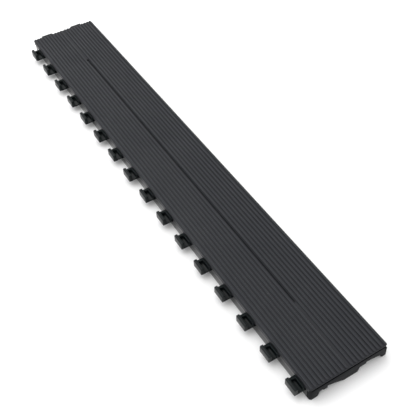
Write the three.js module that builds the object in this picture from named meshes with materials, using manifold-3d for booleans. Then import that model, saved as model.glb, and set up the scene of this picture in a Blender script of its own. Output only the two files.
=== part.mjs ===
// Ribbed floor balance beam: a low interlocking strip that lies on the floor.
// Millimetres. X across the strip, Y along it, Z up. The near end is -Y, the hooks stand out of -X.
import * as THREE from 'three';
import { mergeVertices } from 'three/addons/utils/BufferGeometryUtils.js';
import Module from 'manifold-3d';

const wasm = await Module();
wasm.setup();

// Driving dimensions
const deckWidth = 100;
const hookCount = 16;
const hookPitch = 45.25;
const deckLength = hookCount * hookPitch;
const deckTop = 23;

// Deck: twenty ribs in two fields of ten, with a slot between the fields
const ribsPerField = 10;
const centreGapPitches = 0.45;
const ribPitch = deckWidth / (2 * ribsPerField + centreGapPitches);
const ribWidth = 0.5 * ribPitch;
const ribHeight = 1.4;
const ribEndInset = 0.6;
const ribBevel = 0.5;
const plateThickness = 2;
const plateBevel = 0.8;
const plateCornerRound = 2.4;
const plateTop = deckTop - ribHeight;
const plateBottom = plateTop - plateThickness;

// The slot is blind: a keel under the plate carries its floor
const slotWidth = 0.5 * ribPitch;
const slotLength = 0.74 * deckLength;
const slotFloor = plateTop - 2.4;
const keelThickness = 1.6;
const keelWidth = slotWidth + 2 * keelThickness;
const keelBottom = slotFloor - keelThickness;

// Fits: the gap between neighbours, how far joined solids overlap, how far cutters run past a face
const gap = 0.3;
const overlap = 0.5;
const past = 1;

// Skirts: a rim turned down from the plate along both long edges, outside the walls
const skirtThickness = 0.9;
const skirtBottom = 16;

// Walls
const overhang = skirtThickness + gap;
const wallThickness = 2.4;
const wallFace = deckWidth / 2 - overhang;
const wallInside = wallFace - wallThickness;
const wallTop = plateBottom - gap;
const wallBottom = 0.8;
const flangeThickness = 2;
const flangeWidth = 12;
const flangeTop = wallBottom + flangeThickness;

// End caps
const capThickness = wallThickness;
const capFace = deckLength / 2;
const capSeam = 2.2;
const capSeamDepth = 1.2;
const capTop = wallTop - capSeam;
const capInside = capFace - capThickness;
const capReturn = 5.5;
const capReturnThickness = 3.8;
const capPlanRound = 3;
const capCornerRound = 1.8;
const railEnd = capFace - capReturn - gap;
const tenonLength = 5.4;
const tenonWidth = 5;
const capBossX = 4;
const capBossInset = 4.8;

// Lower edge of the near cap, from its left leg: arch with a tab, foot, ledge, arch, right leg
const leftLegEnd = -39.5;
const legTop = { x: -37.6, z: 6 };
const blockEdge = { x: -32, z: 9.2 };
const tabEnd = { x: -27, z: 6.8 };
const leftArchTop = 10.4;
const leftArchBend = { x: -17, z: 8 };
const footStart = -5;
const footEnd = 13;
const ledgeStart = { x: 14.6, z: 8 };
const ledgeEnd = 23.4;
const rightArchTop = 10.8;
const rightArchBend = { x: 37, z: 9.6 };
const rightLegTop = { x: 43.6, z: 5.4 };
const rightLegStart = 45.6;

// The near cap's right foot stands out to the deck's edge and a little further at the floor
const earFlare = 0.9;

// Hooks, with heights above the floor
const hookLength = 17;
const hookReach = 12;
const hookShift = -5;
const hookBottom = 8.2;
const hookFloor = 10;
const hookTop = 18.8;
const lipThickness = 4.2;
const hookRound = 1.3;
const barbThickness = 2.6;
const barbTip = 1;
const barbTop = 16.6;
const rootReach = 2.6;
const rootTop = 15.6;
const blockLength = 3.4;
const windowTop = 14.4;

// The two hooks at the far end are shorter and sit lower, to reach under the next near cap
const endHookX = 25;
const endHookReach = 9;
const endHookBottom = 3;
const endHookFloor = 5;
const endHookTop = 18.2;

// Open bays in the socket rail: each takes two hooks of the next strip, and a bar hangs into their channels
const bayCount = hookCount / 2;
const bayPitch = 2 * hookPitch;
const bayLength = hookPitch + hookLength + 2;
const bayTop = hookFloor + gap;
const bayWallTop = rootTop + gap;
const barDepth = 4;
const barLength = bayLength + 2;

// Cross ribs
const crossRibCount = 7;
const crossRibPitch = deckLength / (crossRibCount + 1);
const crossRibThickness = 2.4;
const guideThickness = 1.6;
const guideDepth = 3;
const bossX = 25;
const bossRadius = 5;
const deckBossRadius = 4;
const bossTop = 11;

// Screws
const screwRadius = 1.6;
const screwHeadRadius = 3.2;
const screwHeadHeight = 1.8;
const screwLength = 16;
const screwPoint = 1.2;
const screwRecess = 0.1;
const screwTipRoom = 0.6;

// Foot pads, each a little way from a cross rib
const padRadius = 5;
const padChamfer = 0.3;
const padStemRadius = 2;
const padHeadRadius = 2.9;
const padHeadHeight = 1.6;
const padTop = wallBottom - 0.05;
const padHeadBottom = flangeTop + gap / 2;
const padX = wallFace - flangeWidth / 2;
const padFromRib = -8;
const padRibs = [-3, -1, 1, 3];

const materials = {
  deck: new THREE.MeshStandardMaterial({ color: 0x3a3b3e, roughness: 0.55, metalness: 0 }),
  frame: new THREE.MeshStandardMaterial({ color: 0x2b2e30, roughness: 0.38, metalness: 0 }),
  hook: new THREE.MeshStandardMaterial({ color: 0x23282a, roughness: 0.3, metalness: 0 }),
  rib: new THREE.MeshStandardMaterial({ color: 0x303234, roughness: 0.5, metalness: 0 }),
  screw: new THREE.MeshStandardMaterial({ color: 0x9a9ca0, roughness: 0.35, metalness: 1 }),
  pad: new THREE.MeshStandardMaterial({ color: 0x151515, roughness: 0.9, metalness: 0 }),
};

// Solids: every geometry becomes a manifold, so that pieces can be joined and cut
function solid(geometry) {
  const plain = geometry.clone();
  plain.deleteAttribute('normal');
  plain.deleteAttribute('uv');
  const merged = mergeVertices(plain, 1e-5);
  return new wasm.Manifold(new wasm.Mesh({
    numProp: 3,
    vertProperties: new Float32Array(merged.attributes.position.array),
    triVerts: new Uint32Array(merged.index.array),
  }));
}

function geometryOf(manifold) {
  const mesh = manifold.getMesh();
  const geometry = new THREE.BufferGeometry();
  geometry.setAttribute('position', new THREE.Float32BufferAttribute(mesh.vertProperties, 3));
  geometry.setIndex(new THREE.Uint32BufferAttribute(mesh.triVerts, 1));
  geometry.computeVertexNormals();
  return geometry;
}

function block(x0, x1, y0, y1, z0, z1) {
  const box = new THREE.BoxGeometry(x1 - x0, y1 - y0, z1 - z0);
  box.translate((x0 + x1) / 2, (y0 + y1) / 2, (z0 + z1) / 2);
  return solid(box);
}

function upright(radiusBottom, radiusTop, x, y, z0, z1, sides = 16) {
  const cylinder = new THREE.CylinderGeometry(radiusTop, radiusBottom, z1 - z0, sides);
  cylinder.rotateX(Math.PI / 2);
  cylinder.translate(x, y, (z0 + z1) / 2);
  return solid(cylinder);
}

// A shape drawn in X and Z, extruded along Y from y0 to y1
function alongY(shape, y0, y1, curveSegments = 4) {
  const geometry = new THREE.ExtrudeGeometry(shape, { depth: y1 - y0, bevelEnabled: false, curveSegments });
  geometry.rotateX(Math.PI / 2);
  geometry.translate(0, y1, 0);
  return solid(geometry);
}

// Places along the strip, from the near end: count of them, one pitch apart
function stations(count, pitch, first) {
  return Array.from({ length: count }, (_, index) => first + index * pitch - deckLength / 2);
}

const hookStations = stations(hookCount, hookPitch, hookPitch / 2 + hookShift);
const bayStations = stations(bayCount, bayPitch, bayPitch / 2 + hookShift);
const crossRibStations = stations(crossRibCount, crossRibPitch, crossRibPitch);

const capScrewY = capInside - capBossInset;
const ribScrewPlaces = crossRibStations.flatMap((y) => [[-bossX, y], [bossX, y]]);
const capScrewPlaces = [[capBossX, -capScrewY], [capBossX, capScrewY]];
const padPlaces = padRibs.flatMap((rib) => {
  const y = rib * crossRibPitch + padFromRib;
  return [[-padX, y], [padX, y]];
});

// The centre line of every rib, field by field from the left edge
function ribCentres() {
  const fieldStarts = [-deckWidth / 2, deckWidth / 2 - ribsPerField * ribPitch];
  return fieldStarts.flatMap((start) => (
    Array.from({ length: ribsPerField }, (_, index) => start + (index + 0.5) * ribPitch)));
}

// The strip's plan, with round corners
function roundedPlan(halfWidth, halfLength, radius) {
  const outline = new THREE.Shape();
  outline.absarc(halfWidth - radius, halfLength - radius, radius, 0, Math.PI / 2);
  outline.absarc(radius - halfWidth, halfLength - radius, radius, Math.PI / 2, Math.PI);
  outline.absarc(radius - halfWidth, radius - halfLength, radius, Math.PI, 1.5 * Math.PI);
  outline.absarc(halfWidth - radius, radius - halfLength, radius, 1.5 * Math.PI, 2 * Math.PI);
  outline.closePath();
  return outline;
}

// A shape seen from above, extruded upwards from z0 to z1
function raised(shape, z0, z1, curveSegments = 4) {
  const geometry = new THREE.ExtrudeGeometry(shape, { depth: z1 - z0, bevelEnabled: false, curveSegments });
  geometry.translate(0, 0, z0);
  return solid(geometry);
}

// A strip with half-round ends, seen from above
function stadium(width, length) {
  const radius = width / 2;
  const straight = length / 2 - radius;
  const outline = new THREE.Shape();
  outline.absarc(0, straight, radius, 0, Math.PI);
  outline.absarc(0, -straight, radius, Math.PI, 2 * Math.PI);
  outline.closePath();
  return outline;
}

function ribGeometry() {
  const outline = stadium(ribWidth - 2 * ribBevel, deckLength - 2 * (ribEndInset + ribBevel));
  return new THREE.ExtrudeGeometry(outline, {
    depth: ribHeight + overlap - ribBevel,
    bevelThickness: ribBevel,
    bevelSize: ribBevel,
    bevelSegments: 1,
    curveSegments: 3,
  });
}

function deckPlate() {
  const outline = roundedPlan(deckWidth / 2 - plateBevel, deckLength / 2 - plateBevel,
    plateCornerRound - plateBevel);
  const geometry = new THREE.ExtrudeGeometry(outline, {
    depth: plateThickness - 2 * plateBevel,
    bevelThickness: plateBevel,
    bevelSize: plateBevel,
    bevelSegments: 2,
    curveSegments: 3,
  });
  geometry.translate(0, 0, plateBottom + plateBevel);
  return solid(geometry);
}

function skirt(side) {
  const [x0, x1] = sided(side, deckWidth / 2 - skirtThickness, deckWidth / 2);
  const half = deckLength / 2 - plateCornerRound;
  return block(x0, x1, -half, half, skirtBottom, plateTop - plateBevel);
}

// Clearance round one screw: its countersink and its shank
function screwHole(x, y) {
  const holeTop = wallBottom + screwLength + screwTipRoom;
  const shank = upright(screwRadius + gap, screwRadius + gap, x, y, 0, holeTop, 8);
  const sinkTop = wallBottom + screwHeadHeight + screwRecess + gap;
  const sink = upright(screwHeadRadius + 2 * gap, screwRadius + gap, x, y, wallBottom - gap, sinkTop, 8);
  return shank.add(sink);
}

function deckPanel() {
  let panel = deckPlate();
  const rib = ribGeometry();
  for (const x of ribCentres()) {
    const placed = rib.clone();
    placed.translate(x, 0, plateTop - overlap);
    panel = panel.add(solid(placed));
  }
  for (const side of [-1, 1]) panel = panel.add(skirt(side));
  const keel = stadium(keelWidth, slotLength + 2 * keelThickness);
  panel = panel.add(raised(keel, keelBottom, plateBottom + overlap));
  panel = panel.subtract(raised(stadium(slotWidth, slotLength), slotFloor, plateTop + past));
  for (const [x, y] of [...ribScrewPlaces, ...capScrewPlaces]) {
    const boss = upright(deckBossRadius, deckBossRadius, x, y, bossTop + gap, plateBottom + overlap);
    panel = panel.add(boss).subtract(screwHole(x, y));
  }
  return panel;
}

// An L section: an upright wall with a flange turned inwards at its foot
function railSection(side) {
  const section = new THREE.Shape();
  section.moveTo(side * wallFace, wallBottom);
  section.lineTo(side * wallFace, wallTop);
  section.lineTo(side * wallInside, wallTop);
  section.lineTo(side * wallInside, flangeTop);
  section.lineTo(side * (wallFace - flangeWidth), flangeTop);
  section.lineTo(side * (wallFace - flangeWidth), wallBottom);
  section.closePath();
  return section;
}

function sided(side, inner, outer) {
  return side < 0 ? [-outer, -inner] : [inner, outer];
}

// Two upright fins that hold the end of each cross rib
function ribGuides(side) {
  const [x0, x1] = sided(side, wallInside - guideDepth, wallInside + overlap);
  const clear = crossRibThickness / 2 + gap;
  return crossRibStations.flatMap((y) => [
    block(x0, x1, y - clear - guideThickness, y - clear, flangeTop - overlap, wallTop),
    block(x0, x1, y + clear, y + clear + guideThickness, flangeTop - overlap, wallTop),
  ]);
}

function plainRail(side) {
  let rail = alongY(railSection(side), -railEnd, railEnd);
  for (const guide of ribGuides(side)) rail = rail.add(guide);
  for (const [x, y] of padPlaces) {
    const hole = padStemRadius + gap;
    if (Math.sign(x) === side) rail = rail.subtract(upright(hole, hole, x, y, 0, flangeTop + overlap));
  }
  return rail;
}

function hookRail() {
  let rail = plainRail(-1);
  const half = hookLength / 2 + gap;
  for (const y of hookStations) {
    rail = rail.subtract(block(-wallFace - past, -wallInside + past, y - half, y + half,
      hookBottom - gap, windowTop));
  }
  return rail;
}

function socketRail() {
  let rail = plainRail(1);
  for (const y of bayStations) {
    const bar = block(wallInside - barDepth, wallInside + overlap, y - barLength / 2, y + barLength / 2,
      bayTop, wallTop);
    const bay = block(wallFace - flangeWidth - past, wallFace + past, y - bayLength / 2, y + bayLength / 2,
      0, bayTop);
    const wallBay = block(wallInside, wallFace + past, y - bayLength / 2, y + bayLength / 2,
      bayTop - overlap, bayWallTop);
    rail = rail.add(bar).subtract(bay).subtract(wallBay);
  }
  for (const y of hookStations) {
    const blockEnd = y + hookLength / 2 + 2 * gap;
    rail = rail.subtract(block(wallInside - barDepth - past, wallInside + overlap,
      blockEnd - blockLength - 4 * gap, blockEnd, bayTop - overlap, bayWallTop));
  }
  return rail;
}

// The near cap's lower edge between its legs, drawn towards +X
function nearLowerEdge(shape) {
  shape.lineTo(leftLegEnd, wallBottom);
  shape.lineTo(legTop.x, legTop.z);
  shape.quadraticCurveTo(legTop.x, blockEdge.z, blockEdge.x, blockEdge.z);
  shape.lineTo(blockEdge.x, tabEnd.z);
  shape.lineTo(tabEnd.x, tabEnd.z);
  shape.lineTo(tabEnd.x, leftArchTop);
  shape.quadraticCurveTo(leftArchBend.x, leftArchBend.z, footStart, wallBottom);
  shape.lineTo(footEnd, wallBottom);
  shape.lineTo(ledgeStart.x, ledgeStart.z);
  shape.lineTo(ledgeEnd, ledgeStart.z);
  shape.lineTo(ledgeEnd, rightArchTop);
  shape.quadraticCurveTo(rightArchBend.x, rightArchBend.z, rightLegTop.x, rightLegTop.z);
  shape.lineTo(rightLegStart, wallBottom);
}

// An end cap's face, with round lower corners; lowerEdge draws what lies between the legs
function capOutline(lowerEdge) {
  const shape = new THREE.Shape();
  shape.moveTo(-wallFace, capTop);
  shape.lineTo(-wallFace, wallBottom + capCornerRound);
  shape.quadraticCurveTo(-wallFace, wallBottom, -wallFace + capCornerRound, wallBottom);
  lowerEdge(shape);
  shape.lineTo(wallFace - capCornerRound, wallBottom);
  shape.quadraticCurveTo(wallFace, wallBottom, wallFace, wallBottom + capCornerRound);
  shape.lineTo(wallFace, capTop);
  shape.closePath();
  return shape;
}

// A cap closes the strip's end, turns back round both corners, reaches into both rails with a
// tenon and is screwed to the deck
function endCap(end, lowerEdge) {
  const lengthwise = (inner, outer) => sided(end, inner, outer);
  let cap = alongY(capOutline(lowerEdge), ...lengthwise(capInside, capFace), 5);
  const lip = block(-wallFace, wallFace, ...lengthwise(capInside, capFace - capSeamDepth),
    capTop - overlap, wallTop);
  cap = cap.add(lip);
  const tenonRoot = wallInside - gap;
  for (const side of [-1, 1]) {
    const turned = sided(side, wallFace - capReturnThickness, wallFace);
    cap = cap.add(block(...turned, ...lengthwise(capFace - capReturn, capFace - overlap),
      wallBottom, capTop));
    cap = cap.add(block(...turned, ...lengthwise(capFace - capReturn, capFace - capSeamDepth),
      capTop - overlap, wallTop));
    cap = cap.add(block(...sided(side, tenonRoot - tenonWidth, tenonRoot),
      ...lengthwise(capInside - tenonLength, capInside + overlap), flangeTop + gap, hookBottom - 2 * gap));
  }
  cap = cap.intersect(raised(roundedPlan(wallFace, capFace, capPlanRound), 0, deckTop));
  const [x, y] = [capBossX, end * capScrewY];
  return cap.add(upright(bossRadius, bossRadius, x, y, wallBottom, bossTop)).subtract(screwHole(x, y));
}

function nearEndCap() {
  const root = wallFace - capPlanRound;
  const earTop = skirtBottom - gap;
  const ear = new THREE.Shape();
  ear.moveTo(root, wallBottom);
  ear.lineTo(deckWidth / 2 + earFlare, wallBottom);
  ear.lineTo(deckWidth / 2, earTop);
  ear.lineTo(root, earTop);
  ear.closePath();
  return endCap(-1, nearLowerEdge).add(alongY(ear, -capFace, -capFace + capReturn));
}

function farEndCap() {
  let cap = endCap(1, () => {});
  const half = hookLength / 2 + gap;
  for (const x of [-endHookX, endHookX]) {
    cap = cap.subtract(block(x - half, x + half, capInside - past, capFace + past,
      endHookBottom - gap, windowTop));
  }
  return cap;
}

// The hook's side view. X runs outwards from the wall's face to outer; the barb holds behind the wall.
// An edge hook also has a root that rises along the wall, and a block that closes one end of its channel
function hookOutline({ outer, bottom, floor, top }) {
  const lipInner = outer - lipThickness;
  const barbFace = -wallThickness - gap;
  const shape = new THREE.Shape();
  shape.moveTo(barbFace - barbThickness, bottom);
  shape.lineTo(outer - hookRound, bottom);
  shape.quadraticCurveTo(outer, bottom, outer, bottom + hookRound);
  shape.lineTo(outer, top - hookRound);
  shape.quadraticCurveTo(outer, top, outer - hookRound, top);
  shape.lineTo(lipInner + hookRound, top);
  shape.quadraticCurveTo(lipInner, top, lipInner, top - hookRound);
  shape.lineTo(lipInner, floor);
  shape.lineTo(barbFace, floor);
  shape.lineTo(barbFace, barbTop);
  shape.lineTo(barbFace - barbTip, barbTop);
  shape.lineTo(barbFace - barbThickness, barbTop - hookRound);
  shape.closePath();
  return shape;
}

// A hook that stands out of a wall along +X, centred on Y = 0
function hookSolid(size) {
  const half = hookLength / 2;
  const body = alongY(hookOutline(size), -half, half);
  if (!size.root) return body;
  const root = block(gap, size.root, -half, half, size.floor - overlap, rootTop);
  const end = block(gap, size.outer - lipThickness + overlap, -half, -half + blockLength,
    size.floor - overlap, rootTop);
  return body.add(root).add(end);
}

function crossRib() {
  const half = crossRibThickness / 2;
  const end = wallInside - gap;
  const footEnd = wallFace - flangeWidth - gap;
  let rib = block(-end, end, -half, half, flangeTop + gap, wallTop);
  rib = rib.add(block(-footEnd, footEnd, -half, half, wallBottom, flangeTop + overlap));
  const notch = keelWidth / 2 + gap;
  rib = rib.subtract(block(-notch, notch, -half - past, half + past, keelBottom - gap, wallTop + past));
  for (const x of [-bossX, bossX]) {
    const clear = deckBossRadius + gap;
    rib = rib.subtract(upright(clear, clear, x, 0, bossTop, wallTop + past));
    rib = rib.add(upright(bossRadius, bossRadius, x, 0, wallBottom, bossTop));
    rib = rib.subtract(screwHole(x, 0));
  }
  return rib;
}

function screwGeometry() {
  const profile = [
    [0, 0],
    [screwHeadRadius, 0],
    [screwRadius, screwHeadHeight],
    [screwRadius, screwLength - screwPoint],
    [0, screwLength],
  ].map(([radius, height]) => new THREE.Vector2(radius, height));
  return new THREE.LatheGeometry(profile, 10).rotateX(Math.PI / 2);
}

// A push-in rubber foot: the pad, its stem through the flange and the head that keeps it in
function padGeometry() {
  const profile = [
    [0, 0],
    [padRadius - padChamfer, 0],
    [padRadius, padChamfer],
    [padRadius, padTop],
    [padStemRadius, padTop],
    [padStemRadius, padHeadBottom],
    [padHeadRadius, padHeadBottom],
    [padStemRadius, padHeadBottom + padHeadHeight],
    [0, padHeadBottom + padHeadHeight],
  ].map(([radius, height]) => new THREE.Vector2(radius, height));
  return new THREE.LatheGeometry(profile, 14).rotateX(Math.PI / 2);
}

// Assembly: the box that holds hooks and all stands centred on the origin
const strip = new THREE.Group();
strip.position.set((hookReach - earFlare) / 2, -endHookReach / 2, 0);

function add(name, geometry, material, x = 0, y = 0, z = 0, turn = 0) {
  const mesh = new THREE.Mesh(geometry, material.clone());
  mesh.name = name;
  mesh.position.set(x, y, z);
  mesh.rotation.z = turn;
  strip.add(mesh);
}

const numbered = (stem, index) => `${stem}_${String(index + 1).padStart(2, '0')}`;

add('deck_panel', geometryOf(deckPanel()), materials.deck);
add('hook_rail', geometryOf(hookRail()), materials.frame);
add('socket_rail', geometryOf(socketRail()), materials.frame);
add('near_end_cap', geometryOf(nearEndCap()), materials.frame);
add('far_end_cap', geometryOf(farEndCap()), materials.frame);

const ribShape = geometryOf(crossRib());
crossRibStations.forEach((y, index) => add(numbered('cross_rib', index), ribShape, materials.rib, 0, y));

const edgeHookSize = {
  outer: hookReach + overhang,
  bottom: hookBottom,
  floor: hookFloor,
  top: hookTop,
  root: rootReach,
};
const edgeHook = geometryOf(hookSolid(edgeHookSize));
hookStations.forEach((y, index) => (
  add(numbered('edge_hook', index), edgeHook, materials.hook, -wallFace, y, 0, Math.PI)));

const endHookSize = { outer: endHookReach, bottom: endHookBottom, floor: endHookFloor, top: endHookTop };
const endHook = geometryOf(hookSolid(endHookSize));
[-endHookX, endHookX].forEach((x, index) => (
  add(numbered('end_hook', index), endHook, materials.hook, x, capFace, 0, Math.PI / 2)));

const screw = screwGeometry();
ribScrewPlaces.forEach(([x, y], index) => (
  add(numbered('deck_screw', index), screw, materials.screw, x, y, wallBottom + screwRecess)));
capScrewPlaces.forEach(([x, y], index) => (
  add(numbered('cap_screw', index), screw, materials.screw, x, y, wallBottom + screwRecess)));

const pad = padGeometry();
padPlaces.forEach(([x, y], index) => add(numbered('foot_pad', index), pad, materials.pad, x, y));

const group = new THREE.Group();
group.add(strip);
export default group;
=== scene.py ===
"""Looks of a ribbed floor balance beam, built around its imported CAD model. Metres, Z up."""

import math

import bmesh
import bpy
from mathutils import Matrix, Vector


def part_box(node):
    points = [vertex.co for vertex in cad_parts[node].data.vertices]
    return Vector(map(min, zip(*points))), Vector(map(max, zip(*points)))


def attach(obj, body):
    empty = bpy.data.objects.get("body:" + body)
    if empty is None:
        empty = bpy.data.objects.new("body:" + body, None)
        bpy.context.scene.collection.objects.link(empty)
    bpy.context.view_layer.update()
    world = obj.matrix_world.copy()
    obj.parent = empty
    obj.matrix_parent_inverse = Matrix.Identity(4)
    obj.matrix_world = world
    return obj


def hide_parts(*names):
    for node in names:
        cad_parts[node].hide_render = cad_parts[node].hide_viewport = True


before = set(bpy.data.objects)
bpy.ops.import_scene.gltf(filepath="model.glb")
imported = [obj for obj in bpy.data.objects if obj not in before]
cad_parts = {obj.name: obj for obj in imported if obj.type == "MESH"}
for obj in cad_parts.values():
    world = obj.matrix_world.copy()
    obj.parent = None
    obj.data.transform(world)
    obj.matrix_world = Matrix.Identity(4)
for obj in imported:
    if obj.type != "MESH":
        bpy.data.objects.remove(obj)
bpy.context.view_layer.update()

MM = 0.001
BODY = "root"

# The deck's plan, from its CAD box
DECK_LOW, DECK_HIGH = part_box("deck_panel")
DECK_WIDTH = DECK_HIGH.x - DECK_LOW.x
DECK_LENGTH = DECK_HIGH.y - DECK_LOW.y
DECK_CENTRE_X = (DECK_LOW.x + DECK_HIGH.x) / 2
DECK_CENTRE_Y = (DECK_LOW.y + DECK_HIGH.y) / 2
DECK_TOP = DECK_HIGH.z

# Ribs of the deck, with a gap between the two fields that is a share of the pitch
RIBS_PER_FIELD = 10
FIELD_GAP_SHARE = 0.45
RIB_PITCH = DECK_WIDTH / (2 * RIBS_PER_FIELD + FIELD_GAP_SHARE)
RIB_WIDTH = 0.52 * RIB_PITCH
RIB_HEIGHT = 1.4 * MM
RIB_END_INSET = 0.6 * MM
RIB_ROUND = 0.62 * MM
PLATE_TOP = DECK_TOP - RIB_HEIGHT

# The plate under the ribs
PLATE_THICKNESS = 2.0 * MM
PLATE_BOTTOM = PLATE_TOP - PLATE_THICKNESS
PLATE_UPPER_ROUND = 0.5 * MM
PLATE_LOWER_ROUND = 1.1 * MM
CORNER_RADIUS = 2.4 * MM
CORNER_STEPS = 6

# The steps of a rounded edge, from level to upright
ROUND_STEPS = 5
QUARTER_TURN = [math.pi / 2 * i / ROUND_STEPS for i in range(ROUND_STEPS + 1)]

# How far solids reach into each other before they are joined or cut
SINK = 0.5 * MM

# Skirts turned down from the plate along both long edges, a hair inside the plate's own edge.
# Here and below, an edge is a row of steps: how far in, and how far up from the bottom.
SKIRT_THICKNESS = 0.9 * MM
SKIRT_BOTTOM = 16.0 * MM
SKIRT_SHY = 0.02 * MM
SKIRT_TOP = PLATE_TOP - SINK - 0.2 * MM
SKIRT_LOWER_EDGE = ((0.25 * MM, 0.0), (0.07 * MM, 0.08 * MM), (0.0, 0.28 * MM))

# The long blind slot between the two fields of ribs, and the keel under the plate that closes it
SLOT_WIDTH = 0.5 * RIB_PITCH
SLOT_LENGTH = 0.74 * DECK_LENGTH
SLOT_FLOOR = PLATE_TOP - 2.4 * MM
SLOT_END_STEPS = 14
KEEL_THICKNESS = 1.6 * MM
KEEL_LOWER_EDGE = ((0.5 * MM, 0.0), (0.1 * MM, 0.2 * MM), (0.0, 0.6 * MM))

# Bosses under the deck that the screws go into
BOSS_RADIUS = 4.0 * MM
BOSS_BEVEL = 0.3 * MM
PILOT_RADIUS = 1.9 * MM
PILOT_DEPTH = 6.0 * MM

# Screws: countersunk head, thread, and a cross drive that is wider at its mouth than at its floor
SCREW_SIDES = 32
SCREW_SHANK_RADIUS = 1.6 * MM
SCREW_HEAD_HEIGHT = 1.8 * MM
SCREW_HEAD_EDGE = ((0.25 * MM, 0.0), (0.05 * MM, 0.06 * MM), (0.0, 0.2 * MM))
SCREW_POINT = 1.2 * MM
SCREW_TIP_RADIUS = 0.15 * MM
THREAD_PITCH = 1.4 * MM
THREAD_STEPS = 8
THREAD_DEPTH = 0.35 * MM
THREAD_STEEPNESS = 2.6
DRIVE_LENGTH = 3.6 * MM
DRIVE_WIDTH = 0.9 * MM
DRIVE_DEPTH = 1.3 * MM
DRIVE_MOUTH, DRIVE_FLOOR = 1.1, 0.55

# Push-in rubber feet: sole with two ring grooves, stem and barbed head
PAD_SIDES = 40
PAD_THICKNESS = 0.75 * MM
PAD_SOLE_EDGE = ((0.35 * MM, 0.0), (0.1 * MM, 0.1 * MM), (0.0, 0.3 * MM), (0.0, 0.62 * MM),
                 (0.13 * MM, PAD_THICKNESS))
PAD_RING_SHARES = (0.78, 0.5)
PAD_RING_WIDTH = 0.5 * MM
PAD_RING_DEPTH = 0.22 * MM
PAD_STEM_RADIUS = 2.0 * MM
PAD_HEAD_RADIUS = 2.9 * MM
PAD_HEAD_HEIGHT = 1.6 * MM
PAD_HEAD_TAPER_START = 0.8 * PAD_HEAD_HEIGHT
PAD_TIP_BEVEL = (0.3 * MM, 0.15 * MM)

# Rounding of the CAD solids
WELD_DISTANCE = 0.002 * MM
FLAT_ANGLE = math.radians(1.5)
ROUNDED_ANGLE = math.radians(28)
SHARP_ANGLE = math.radians(40)
RAIL_ROUND = 0.35 * MM
CAP_ROUND = 0.35 * MM
CROSS_RIB_ROUND = 0.25 * MM
HOOK_ROUND = 0.45 * MM

RAILS = ["hook_rail", "socket_rail"]
CAPS = ["near_end_cap", "far_end_cap"]

# Colours, as linear red, green and blue
# The deck's groove colour is painted shade: grooves are coloured darker than the crowns to stand for the
# shade that falls in them.
DECK_GROOVE_SHADE = (0.0098, 0.0106, 0.0138)
DECK_CROWN = (0.0142, 0.0154, 0.0198)
DECK_RUBBED = (0.0215, 0.023, 0.027)
DECK_DUST = (0.055, 0.056, 0.058)
FRAME_BLACK, FRAME_WORN = (0.004, 0.0046, 0.0055), (0.007, 0.0078, 0.009)
CAP_BLACK, CAP_WORN = (0.0036, 0.004, 0.005), (0.0062, 0.0068, 0.0078)
CROSS_RIB_BLACK, CROSS_RIB_WORN = (0.009, 0.0098, 0.0105), (0.0135, 0.0143, 0.015)
HOOK_BLACK, HOOK_WORN = (0.0025, 0.0046, 0.005), (0.005, 0.008, 0.0085)
ZINC, ZINC_DARK, ZINC_LIGHT = (0.55, 0.56, 0.58), (0.50, 0.51, 0.53), (0.62, 0.62, 0.60)
RUBBER, RUBBER_CLEAN, RUBBER_DUSTY = (0.018, 0.018, 0.018), (0.016, 0.016, 0.016), (0.045, 0.044, 0.042)
FLOOR_WHITE = (0.90, 0.90, 0.90)

# The stage: a floor and one lamp, its size in metres and its power in watts
FLOOR_HALF_SIZE = 12.0
FLOOR_DROP = 0.02 * MM
LAMP_PLACE = (-0.5, 0.7, 1.8)
LAMP_SIZE = 2.4
LAMP_POWER = 27.0
SURROUNDINGS_STRENGTH = 1.05

# The camera, aimed at a point between the deck's middle and its near end: lens and sensor in mm
CAMERA_TARGET = Vector((DECK_CENTRE_X - 0.0014, DECK_CENTRE_Y - 0.0926, 0.0115))
CAMERA_DISTANCE = 0.8861
CAMERA_AZIMUTH = math.radians(29.71)
CAMERA_ELEVATION = math.radians(47.62)
CAMERA_ROLL = math.radians(-2.54)
CAMERA_LENS = 61.03
CAMERA_SENSOR = 36.0


def named(stem):
    """The CAD nodes whose names start with stem, in order."""
    return sorted(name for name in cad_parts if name.startswith(stem))


# ---------------------------------------------------------------- materials

def principled(name, colour, roughness, metallic=0.0, specular=0.5):
    """A new material, with its node tree and its shader."""
    material = bpy.data.materials.new(name)
    material.use_nodes = True
    tree = material.node_tree
    shader = tree.nodes["Principled BSDF"]
    shader.inputs["Base Color"].default_value = (*colour, 1.0)
    shader.inputs["Roughness"].default_value = roughness
    shader.inputs["Metallic"].default_value = metallic
    shader.inputs["Specular IOR Level"].default_value = specular
    return material, tree, shader


def place(tree, stretch=(1.0, 1.0, 1.0)):
    """Object coordinates in metres, stretched along each axis."""
    coordinates = tree.nodes.new("ShaderNodeTexCoord")
    mapping = tree.nodes.new("ShaderNodeMapping")
    mapping.inputs["Scale"].default_value = stretch
    tree.links.new(coordinates.outputs["Object"], mapping.inputs["Vector"])
    return mapping.outputs["Vector"]


def noise(tree, vector, scale, detail=4.0, roughness=0.55):
    """Smooth noise from 0 to 1, with about scale features to a metre."""
    node = tree.nodes.new("ShaderNodeTexNoise")
    node.inputs["Scale"].default_value = scale
    node.inputs["Detail"].default_value = detail
    node.inputs["Roughness"].default_value = roughness
    tree.links.new(vector, node.inputs["Vector"])
    return node.outputs["Fac"]


def remap(tree, value, low, high, to_low, to_high):
    """The value stretched from low..high to to_low..to_high, and held inside it."""
    node = tree.nodes.new("ShaderNodeMapRange")
    node.inputs["From Min"].default_value = low
    node.inputs["From Max"].default_value = high
    node.inputs["To Min"].default_value = to_low
    node.inputs["To Max"].default_value = to_high
    tree.links.new(value, node.inputs["Value"])
    return node.outputs["Result"]


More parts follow.
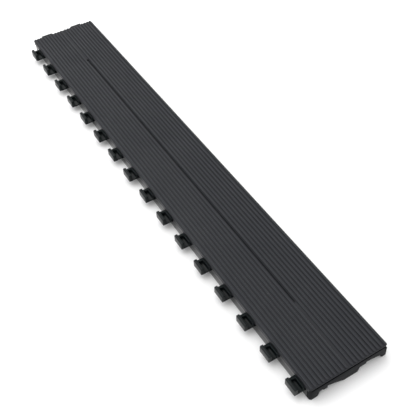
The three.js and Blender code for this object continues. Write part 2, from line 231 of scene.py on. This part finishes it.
def blend(tree, factor, first, second):
    """A colour between first and second, each a colour or another node's output."""
    node = tree.nodes.new("ShaderNodeMix")
    node.data_type = "RGBA"
    tree.links.new(factor, node.inputs["Factor"])
    for socket, colour in ((node.inputs["A"], first), (node.inputs["B"], second)):
        if isinstance(colour, tuple):
            socket.default_value = (*colour, 1.0)
        else:
            tree.links.new(colour, socket)
    return node.outputs["Result"]


def bump(tree, height, strength, distance, before=None):
    """A normal bent by a height, on top of another bump if one is given."""
    node = tree.nodes.new("ShaderNodeBump")
    node.inputs["Strength"].default_value = strength
    node.inputs["Distance"].default_value = distance
    tree.links.new(height, node.inputs["Height"])
    if before is not None:
        tree.links.new(before, node.inputs["Normal"])
    return node.outputs["Normal"]


def height_above(tree, low, high):
    """0 at low and 1 at high, by the height of the point above the floor."""
    coordinates = tree.nodes.new("ShaderNodeTexCoord")
    split = tree.nodes.new("ShaderNodeSeparateXYZ")
    tree.links.new(coordinates.outputs["Object"], split.inputs["Vector"])
    return remap(tree, split.outputs["Z"], low, high, 0.0, 1.0)


def moulded_plastic(name, colour, worn, roughness, specular):
    """Moulded plastic: fine spark grain, flow marks along Y and a cloudy, slightly wavy skin."""
    material, tree, shader = principled(name, colour, sum(roughness) / 2, specular=specular)
    cloud = noise(tree, place(tree), scale=24.0)
    flow = noise(tree, place(tree, stretch=(60.0, 5.0, 60.0)), scale=3.0, detail=3.0)
    tint = remap(tree, flow, 0.3, 0.75, 0.0, 1.0)
    tree.links.new(blend(tree, tint, colour, worn), shader.inputs["Base Color"])
    tree.links.new(remap(tree, cloud, 0.3, 0.7, *roughness), shader.inputs["Roughness"])
    grain = noise(tree, place(tree), scale=2600.0, detail=2.0)
    fine = bump(tree, grain, strength=0.12, distance=0.05 * MM)
    wave = bump(tree, cloud, strength=0.08, distance=0.4 * MM, before=fine)
    tree.links.new(wave, shader.inputs["Normal"])
    return material


def deck_plastic():
    """Charcoal deck: grooves painted darker as painted shade, rib tops rubbed paler along Y, and a few pale
    specks.
    """
    material, tree, shader = principled("deck_plastic", DECK_CROWN, 0.5, specular=0.3)
    # Painted shade: by height, the colour runs from the darker groove colour at the plate up to the crown
    # colour at the rib tops.
    height = height_above(tree, PLATE_TOP, DECK_TOP)
    groove_shade_ramp = blend(tree, height, DECK_GROOVE_SHADE, DECK_CROWN)
    scratches = noise(tree, place(tree, stretch=(900.0, 14.0, 900.0)), scale=1.0, detail=5.0, roughness=0.65)
    rubbing = tree.nodes.new("ShaderNodeMath")
    rubbing.operation = "MULTIPLY"
    tree.links.new(remap(tree, scratches, 0.52, 0.8, 0.0, 1.0), rubbing.inputs[0])
    tree.links.new(height, rubbing.inputs[1])
    worn_and_shaded_deck = blend(tree, rubbing.outputs["Value"], groove_shade_ramp, DECK_RUBBED)
    specks = remap(tree, noise(tree, place(tree), scale=420.0, detail=2.0), 0.71, 0.78, 0.0, 0.7)
    tree.links.new(blend(tree, specks, worn_and_shaded_deck, DECK_DUST), shader.inputs["Base Color"])
    cloud = noise(tree, place(tree), scale=18.0)
    tree.links.new(remap(tree, cloud, 0.3, 0.7, 0.46, 0.6), shader.inputs["Roughness"])
    grain = noise(tree, place(tree), scale=2200.0, detail=2.0)
    fine = bump(tree, grain, strength=0.16, distance=0.06 * MM)
    worn = bump(tree, scratches, strength=0.10, distance=0.05 * MM, before=fine)
    tree.links.new(worn, shader.inputs["Normal"])
    return material


def zinc_steel():
    """Zinc-plated steel with a faint spangle."""
    material, tree, shader = principled("zinc_steel", ZINC, 0.3, metallic=1.0)
    spangle = noise(tree, place(tree), scale=900.0, detail=3.0)
    tree.links.new(remap(tree, spangle, 0.3, 0.7, 0.24, 0.42), shader.inputs["Roughness"])
    spread = remap(tree, spangle, 0.4, 0.7, 0.0, 1.0)
    tree.links.new(blend(tree, spread, ZINC_DARK, ZINC_LIGHT), shader.inputs["Base Color"])
    uneven = bump(tree, spangle, strength=0.1, distance=0.04 * MM)
    tree.links.new(uneven, shader.inputs["Normal"])
    return material


def foot_rubber():
    """Matt black rubber with a little dust on it."""
    material, tree, shader = principled("foot_rubber", RUBBER, 0.85, specular=0.3)
    dust = noise(tree, place(tree), scale=400.0, detail=5.0)
    dusty = remap(tree, dust, 0.5, 0.8, 0.0, 1.0)
    tree.links.new(blend(tree, dusty, RUBBER_CLEAN, RUBBER_DUSTY), shader.inputs["Base Color"])
    tree.links.new(remap(tree, dust, 0.3, 0.7, 0.75, 0.92), shader.inputs["Roughness"])
    grain = noise(tree, place(tree), scale=3000.0, detail=2.0)
    rough = bump(tree, grain, strength=0.3, distance=0.06 * MM)
    tree.links.new(rough, shader.inputs["Normal"])
    return material


# ------------------------------------------------------------------- meshes

def shade(thing):
    """Smooth, except over sharp edges."""
    thing.data.shade_smooth()
    thing.data.set_sharp_from_angle(angle=SHARP_ANGLE)


def mesh_object(name, bm):
    """Turns a bmesh into a shaded object in the scene."""
    bmesh.ops.recalc_face_normals(bm, faces=bm.faces)
    mesh = bpy.data.meshes.new(name)
    bm.to_mesh(mesh)
    bm.free()
    thing = bpy.data.objects.new(name, mesh)
    bpy.context.scene.collection.objects.link(thing)
    shade(thing)
    return thing


def finished(piece, nodes, material):
    """Gives a piece its material and its body, and hides the CAD nodes that it stands for."""
    piece.data.materials.clear()
    piece.data.materials.append(material)
    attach(piece, BODY)
    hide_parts(*nodes)


def softened(node, width, segments=3):
    """The CAD node's solid with flat faces made whole and all but its blunt edges rounded."""
    bm = bmesh.new()
    bm.from_mesh(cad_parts[node].data)
    bm.transform(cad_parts[node].matrix_world)
    bmesh.ops.remove_doubles(bm, verts=bm.verts, dist=WELD_DISTANCE)
    bmesh.ops.dissolve_limit(bm, angle_limit=FLAT_ANGLE, verts=bm.verts, edges=bm.edges)
    sharp = [edge for edge in bm.edges if len(edge.link_faces) == 2
             and edge.calc_face_angle(0.0) > ROUNDED_ANGLE]
    bmesh.ops.bevel(bm, geom=sharp, offset=width, segments=segments, profile=0.5,
                    affect="EDGES", clamp_overlap=True)
    return mesh_object(node + "_shell", bm)


def add_loft(bm, rings):
    """Closes a stack of rings of points, each with the same count, into one solid."""
    loops = [[bm.verts.new(point) for point in ring] for ring in rings]
    count = len(loops[0])
    for lower, upper in zip(loops, loops[1:]):
        for i in range(count):
            j = (i + 1) % count
            bm.faces.new((lower[i], lower[j], upper[j], upper[i]))
    bm.faces.new(list(reversed(loops[0])))
    bm.faces.new(loops[-1])


def stadium(x, y, radius, length, z, steps=10):
    """Points round a strip with half-round ends that lies along Y."""
    straight = length / 2 - radius
    points = []
    for end, start in ((1, 0.0), (-1, math.pi)):
        for i in range(steps + 1):
            angle = start + math.pi * i / steps
            points.append((x + radius * math.cos(angle), y + end * straight + radius * math.sin(angle), z))
    return points


def circle(x, y, radius, z, sides=28):
    """Points round a level circle."""
    angles = [math.tau * i / sides for i in range(sides)]
    return [(x + radius * math.cos(angle), y + radius * math.sin(angle), z) for angle in angles]


def add_ring(bm, centre, inner, outer, low, high):
    """A flat ring with a square section, closed on itself."""
    loops = [[bm.verts.new(point) for point in circle(centre.x, centre.y, radius, z, PAD_SIDES)]
             for radius, z in ((inner, low), (outer, low), (outer, high), (inner, high))]
    for first, second in zip(loops, loops[1:] + loops[:1]):
        for i in range(PAD_SIDES):
            j = (i + 1) % PAD_SIDES
            bm.faces.new((first[i], first[j], second[j], second[i]))


def deck_outline(inset, z):
    """Points round the deck's plan with its round corners, drawn in by an inset."""
    half_x, half_y = DECK_WIDTH / 2 - inset, DECK_LENGTH / 2 - inset
    points = []
    for turn, (side_x, side_y) in enumerate(((1, 1), (-1, 1), (-1, -1), (1, -1))):
        corner_x = DECK_CENTRE_X + side_x * (half_x - CORNER_RADIUS)
        corner_y = DECK_CENTRE_Y + side_y * (half_y - CORNER_RADIUS)
        for i in range(CORNER_STEPS + 1):
            angle = math.pi / 2 * (turn + i / CORNER_STEPS)
            points.append((corner_x + CORNER_RADIUS * math.cos(angle),
                           corner_y + CORNER_RADIUS * math.sin(angle), z))
    return points


def rib_centres():
    """The centre line of every rib, field by field from the hooks' edge."""
    starts = (DECK_LOW.x, DECK_HIGH.x - RIBS_PER_FIELD * RIB_PITCH)
    return [start + (i + 0.5) * RIB_PITCH for start in starts for i in range(RIBS_PER_FIELD)]


def centre_of(node):
    """The middle of a CAD node's box."""
    low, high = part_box(node)
    return (low + high) / 2


def boss_places():
    """Where the screws' axes stand, which is where the deck's bosses are."""
    boxes = [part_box(node) for node in named("deck_screw") + named("cap_screw")]
    return [((low.x + high.x) / 2, (low.y + high.y) / 2) for low, high in boxes]


def combine(target, tool, operation):
    """Joins or cuts target with tool, and drops the tool."""
    modifier = target.modifiers.new("solid", "BOOLEAN")
    modifier.operation = operation
    modifier.solver = "EXACT"
    modifier.use_self = True
    modifier.object = tool
    evaluated = target.evaluated_get(bpy.context.evaluated_depsgraph_get())
    mesh = bpy.data.meshes.new_from_object(evaluated)
    target.modifiers.clear()
    target.data = mesh
    bpy.data.objects.remove(tool)


def drive_recess(centre, z):
    """The cross-shaped tool that cuts a screw head's drive upwards from z, narrower at its floor."""
    long, thin = DRIVE_LENGTH / 2, DRIVE_WIDTH / 2
    corners = [(long, thin), (thin, thin), (thin, long)]
    outline = []
    for _ in range(4):
        outline += corners
        corners = [(-y, x) for x, y in corners]
    bm = bmesh.new()
    add_loft(bm, [[(centre.x + taper * x, centre.y + taper * y, height) for x, y in outline]
                  for taper, height in ((DRIVE_MOUTH, z - SINK), (DRIVE_FLOOR, z + DRIVE_DEPTH))])
    return mesh_object("drive_recess", bm)


def screw_mesh(node):
    """A countersunk screw with a cross drive and a helical thread."""
    low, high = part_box(node)
    centre = centre_of(node)
    head, shank = (high.x - low.x) / 2, SCREW_SHANK_RADIUS
    head_profile = [(head - inset, rise) for inset, rise in SCREW_HEAD_EDGE] + [(shank, SCREW_HEAD_HEIGHT)]
    rings = [circle(centre.x, centre.y, radius, low.z + height, SCREW_SIDES)
             for radius, height in head_profile]
    threaded = high.z - low.z - SCREW_HEAD_HEIGHT - SCREW_POINT
    steps = round(threaded / THREAD_PITCH * THREAD_STEPS)
    for i in range(1, steps + 1):
        z = low.z + SCREW_HEAD_HEIGHT + i * THREAD_PITCH / THREAD_STEPS
        ring = []
        for j in range(SCREW_SIDES):
            phase = (i / THREAD_STEPS - j / SCREW_SIDES) % 1.0
            run_in = min(1.0, i / THREAD_STEPS)
            radius = shank - THREAD_DEPTH * run_in * min(1.0, THREAD_STEEPNESS * abs(phase - 0.5))
            angle = math.tau * j / SCREW_SIDES
            ring.append((centre.x + radius * math.cos(angle), centre.y + radius * math.sin(angle), z))
        rings.append(ring)
    rings.append(circle(centre.x, centre.y, SCREW_TIP_RADIUS, high.z, SCREW_SIDES))
    bm = bmesh.new()
    add_loft(bm, rings)
    screw = mesh_object(node + "_threaded", bm)
    combine(screw, drive_recess(centre, low.z), "DIFFERENCE")
    shade(screw)
    return screw


def pad_mesh(node):
    """A push-in rubber foot: ringed sole, stem and barbed head."""
    low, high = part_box(node)
    centre, sole = centre_of(node), (high.x - low.x) / 2
    tip_inset, tip_drop = PAD_TIP_BEVEL
    profile = [(sole - inset, low.z + rise) for inset, rise in PAD_SOLE_EDGE]
    profile += [(PAD_STEM_RADIUS, low.z + PAD_THICKNESS), (PAD_STEM_RADIUS, high.z - PAD_HEAD_HEIGHT)]
    profile += [(PAD_HEAD_RADIUS, high.z - PAD_HEAD_HEIGHT), (PAD_HEAD_RADIUS, high.z - PAD_HEAD_TAPER_START)]
    profile += [(PAD_STEM_RADIUS, high.z - tip_drop), (PAD_STEM_RADIUS - tip_inset, high.z)]
    bm = bmesh.new()
    add_loft(bm, [circle(centre.x, centre.y, radius, z, PAD_SIDES) for radius, z in profile])
    pad = mesh_object(node + "_rubber", bm)
    rings = bmesh.new()
    for share in PAD_RING_SHARES:
        outer = share * sole
        add_ring(rings, centre, outer - PAD_RING_WIDTH, outer, low.z - SINK, low.z + PAD_RING_DEPTH)
    combine(pad, mesh_object("pad_grooves", rings), "DIFFERENCE")
    shade(pad)
    return pad


def deck_plate():
    """The plate under the ribs, with its lower edge rounded more than its upper one."""
    rings = []
    for angle in QUARTER_TURN:
        rings.append(deck_outline(PLATE_LOWER_ROUND * (1 - math.sin(angle)),
                                  PLATE_BOTTOM + PLATE_LOWER_ROUND * (1 - math.cos(angle))))
    for angle in QUARTER_TURN:
        rings.append(deck_outline(PLATE_UPPER_ROUND * (1 - math.cos(angle)),
                                  PLATE_TOP - PLATE_UPPER_ROUND * (1 - math.sin(angle))))
    bm = bmesh.new()
    add_loft(bm, rings)
    return mesh_object("deck_panel_shell", bm)


def add_rib(bm, x):
    """One long rib with rounded shoulders and half-round ends."""
    length = DECK_LENGTH - 2 * RIB_END_INSET
    radius = RIB_WIDTH / 2
    rings = [stadium(x, DECK_CENTRE_Y, radius, length, PLATE_TOP - SINK)]
    for angle in QUARTER_TURN:
        inset = RIB_ROUND * (1 - math.cos(angle))
        z = DECK_TOP - RIB_ROUND * (1 - math.sin(angle))
        rings.append(stadium(x, DECK_CENTRE_Y, radius - inset, length - 2 * inset, z))
    add_loft(bm, rings)


def add_boss(bm, x, y):
    """One boss under the plate, bevelled at its foot."""
    add_loft(bm, [circle(x, y, BOSS_RADIUS - BOSS_BEVEL, DECK_LOW.z),
                  circle(x, y, BOSS_RADIUS, DECK_LOW.z + BOSS_BEVEL),
                  circle(x, y, BOSS_RADIUS, PLATE_BOTTOM + SINK)])


def add_keel(bm):
    """The keel that closes the slot from below."""
    bottom, length = SLOT_FLOOR - KEEL_THICKNESS, SLOT_LENGTH + 2 * KEEL_THICKNESS
    radius = SLOT_WIDTH / 2 + KEEL_THICKNESS
    steps = [(inset, bottom + rise) for inset, rise in KEEL_LOWER_EDGE] + [(0.0, PLATE_BOTTOM + SINK)]
    add_loft(bm, [stadium(DECK_CENTRE_X, DECK_CENTRE_Y, radius - inset, length - 2 * inset, z, SLOT_END_STEPS)
                  for inset, z in steps])


def add_skirt(bm, side):
    """The skirt along one long edge: side is -1 at the hooks and 1 at the sockets."""
    radius, length = SKIRT_THICKNESS / 2, DECK_LENGTH - 2 * CORNER_RADIUS
    x = DECK_CENTRE_X + side * (DECK_WIDTH / 2 - radius - SKIRT_SHY)
    steps = [(inset, SKIRT_BOTTOM + rise) for inset, rise in SKIRT_LOWER_EDGE] + [(0.0, SKIRT_TOP)]
    add_loft(bm, [stadium(x, DECK_CENTRE_Y, radius - inset, length - 2 * inset, z) for inset, z in steps])


def deck_additions():
    """All that is joined to the plate: twenty ribs, the bosses, the keel and two skirts."""
    bm = bmesh.new()
    for x in rib_centres():
        add_rib(bm, x)
    for x, y in boss_places():
        add_boss(bm, x, y)
    add_keel(bm)
    for side in (-1, 1):
        add_skirt(bm, side)
    return mesh_object("deck_additions", bm)


def deck_cuts():
    """The long slot and the screws' pilot holes."""
    bm = bmesh.new()
    add_loft(bm, [stadium(DECK_CENTRE_X, DECK_CENTRE_Y, SLOT_WIDTH / 2, SLOT_LENGTH, z, SLOT_END_STEPS)
                  for z in (SLOT_FLOOR, PLATE_TOP + SINK)])
    for x, y in boss_places():
        add_loft(bm, [circle(x, y, PILOT_RADIUS, z) for z in (DECK_LOW.z - SINK, DECK_LOW.z + PILOT_DEPTH)])
    return mesh_object("deck_cuts", bm)


def build_deck(material):
    """The whole deck panel in one mesh."""
    deck = deck_plate()
    combine(deck, deck_additions(), "UNION")
    combine(deck, deck_cuts(), "DIFFERENCE")
    shade(deck)
    finished(deck, ["deck_panel"], material)


# ---------------------------------------------------------------- the object

def build_object():
    """Every piece of the strip, in the place of its CAD node."""
    build_deck(deck_plastic())
    frame_plastic = moulded_plastic("frame_plastic", FRAME_BLACK, FRAME_WORN, (0.10, 0.19), specular=0.56)
    for node in RAILS:
        finished(softened(node, RAIL_ROUND), [node], frame_plastic)
    cap_plastic = moulded_plastic("cap_plastic", CAP_BLACK, CAP_WORN, (0.45, 0.6), specular=0.07)
    for node in CAPS:
        finished(softened(node, CAP_ROUND), [node], cap_plastic)
    rib_plastic = moulded_plastic("cross_rib_plastic", CROSS_RIB_BLACK, CROSS_RIB_WORN, (0.42, 0.55),
                                  specular=0.35)
    for node in named("cross_rib"):
        finished(softened(node, CROSS_RIB_ROUND, segments=2), [node], rib_plastic)
    hook_plastic = moulded_plastic("hook_plastic", HOOK_BLACK, HOOK_WORN, (0.26, 0.4), specular=0.17)
    for node in named("edge_hook") + named("end_hook"):
        finished(softened(node, HOOK_ROUND), [node], hook_plastic)
    steel = zinc_steel()
    for node in named("deck_screw") + named("cap_screw"):
        finished(screw_mesh(node), [node], steel)
    rubber = foot_rubber()
    for node in named("foot_pad"):
        finished(pad_mesh(node), [node], rubber)


# --------------------------------------------------------------------- stage

def add_floor():
    """A wide plain white floor, a hair under the feet."""
    material, *_ = principled("floor_white", FLOOR_WHITE, 0.6, specular=0.2)
    size = FLOOR_HALF_SIZE
    corners = [(-size, -size, 0.0), (size, -size, 0.0), (size, size, 0.0), (-size, size, 0.0)]
    bm = bmesh.new()
    bm.faces.new([bm.verts.new(corner) for corner in corners])
    floor = mesh_object("floor", bm)
    floor.data.materials.append(material)
    floor.location.z = -FLOOR_DROP


def add_lights():
    """One large soft lamp high up, in white surroundings."""
    light = bpy.data.lights.new("key", "AREA")
    light.shape = "DISK"
    light.size = LAMP_SIZE
    light.energy = LAMP_POWER
    lamp = bpy.data.objects.new("key", light)
    bpy.context.scene.collection.objects.link(lamp)
    aim = Vector((DECK_CENTRE_X, DECK_CENTRE_Y, 0.0)) - Vector(LAMP_PLACE)
    lamp.location = LAMP_PLACE
    lamp.rotation_euler = aim.to_track_quat("-Z", "Y").to_euler()
    world = bpy.data.worlds.new("studio")
    world.use_nodes = True
    background = world.node_tree.nodes["Background"]
    background.inputs["Color"].default_value = (1.0, 1.0, 1.0, 1.0)
    background.inputs["Strength"].default_value = SURROUNDINGS_STRENGTH
    bpy.context.scene.world = world


def add_camera():
    """Looks down the strip from its near left, turned a little about its own axis."""
    reach = math.cos(CAMERA_ELEVATION)
    back = Vector((-math.sin(CAMERA_AZIMUTH) * reach, -math.cos(CAMERA_AZIMUTH) * reach,
                   math.sin(CAMERA_ELEVATION)))
    data = bpy.data.cameras.new("camera")
    data.lens = CAMERA_LENS
    data.sensor_width = CAMERA_SENSOR
    camera = bpy.data.objects.new("camera", data)
    bpy.context.scene.collection.objects.link(camera)
    place_at = Matrix.Translation(CAMERA_TARGET + CAMERA_DISTANCE * back)
    facing = (-back).to_track_quat("-Z", "Y").to_matrix().to_4x4()
    camera.matrix_world = place_at @ facing @ Matrix.Rotation(CAMERA_ROLL, 4, "Z")
    bpy.context.scene.camera = camera


build_object()
add_floor()
add_lights()
add_camera()
bpy.context.scene.view_settings.view_transform = "Standard"
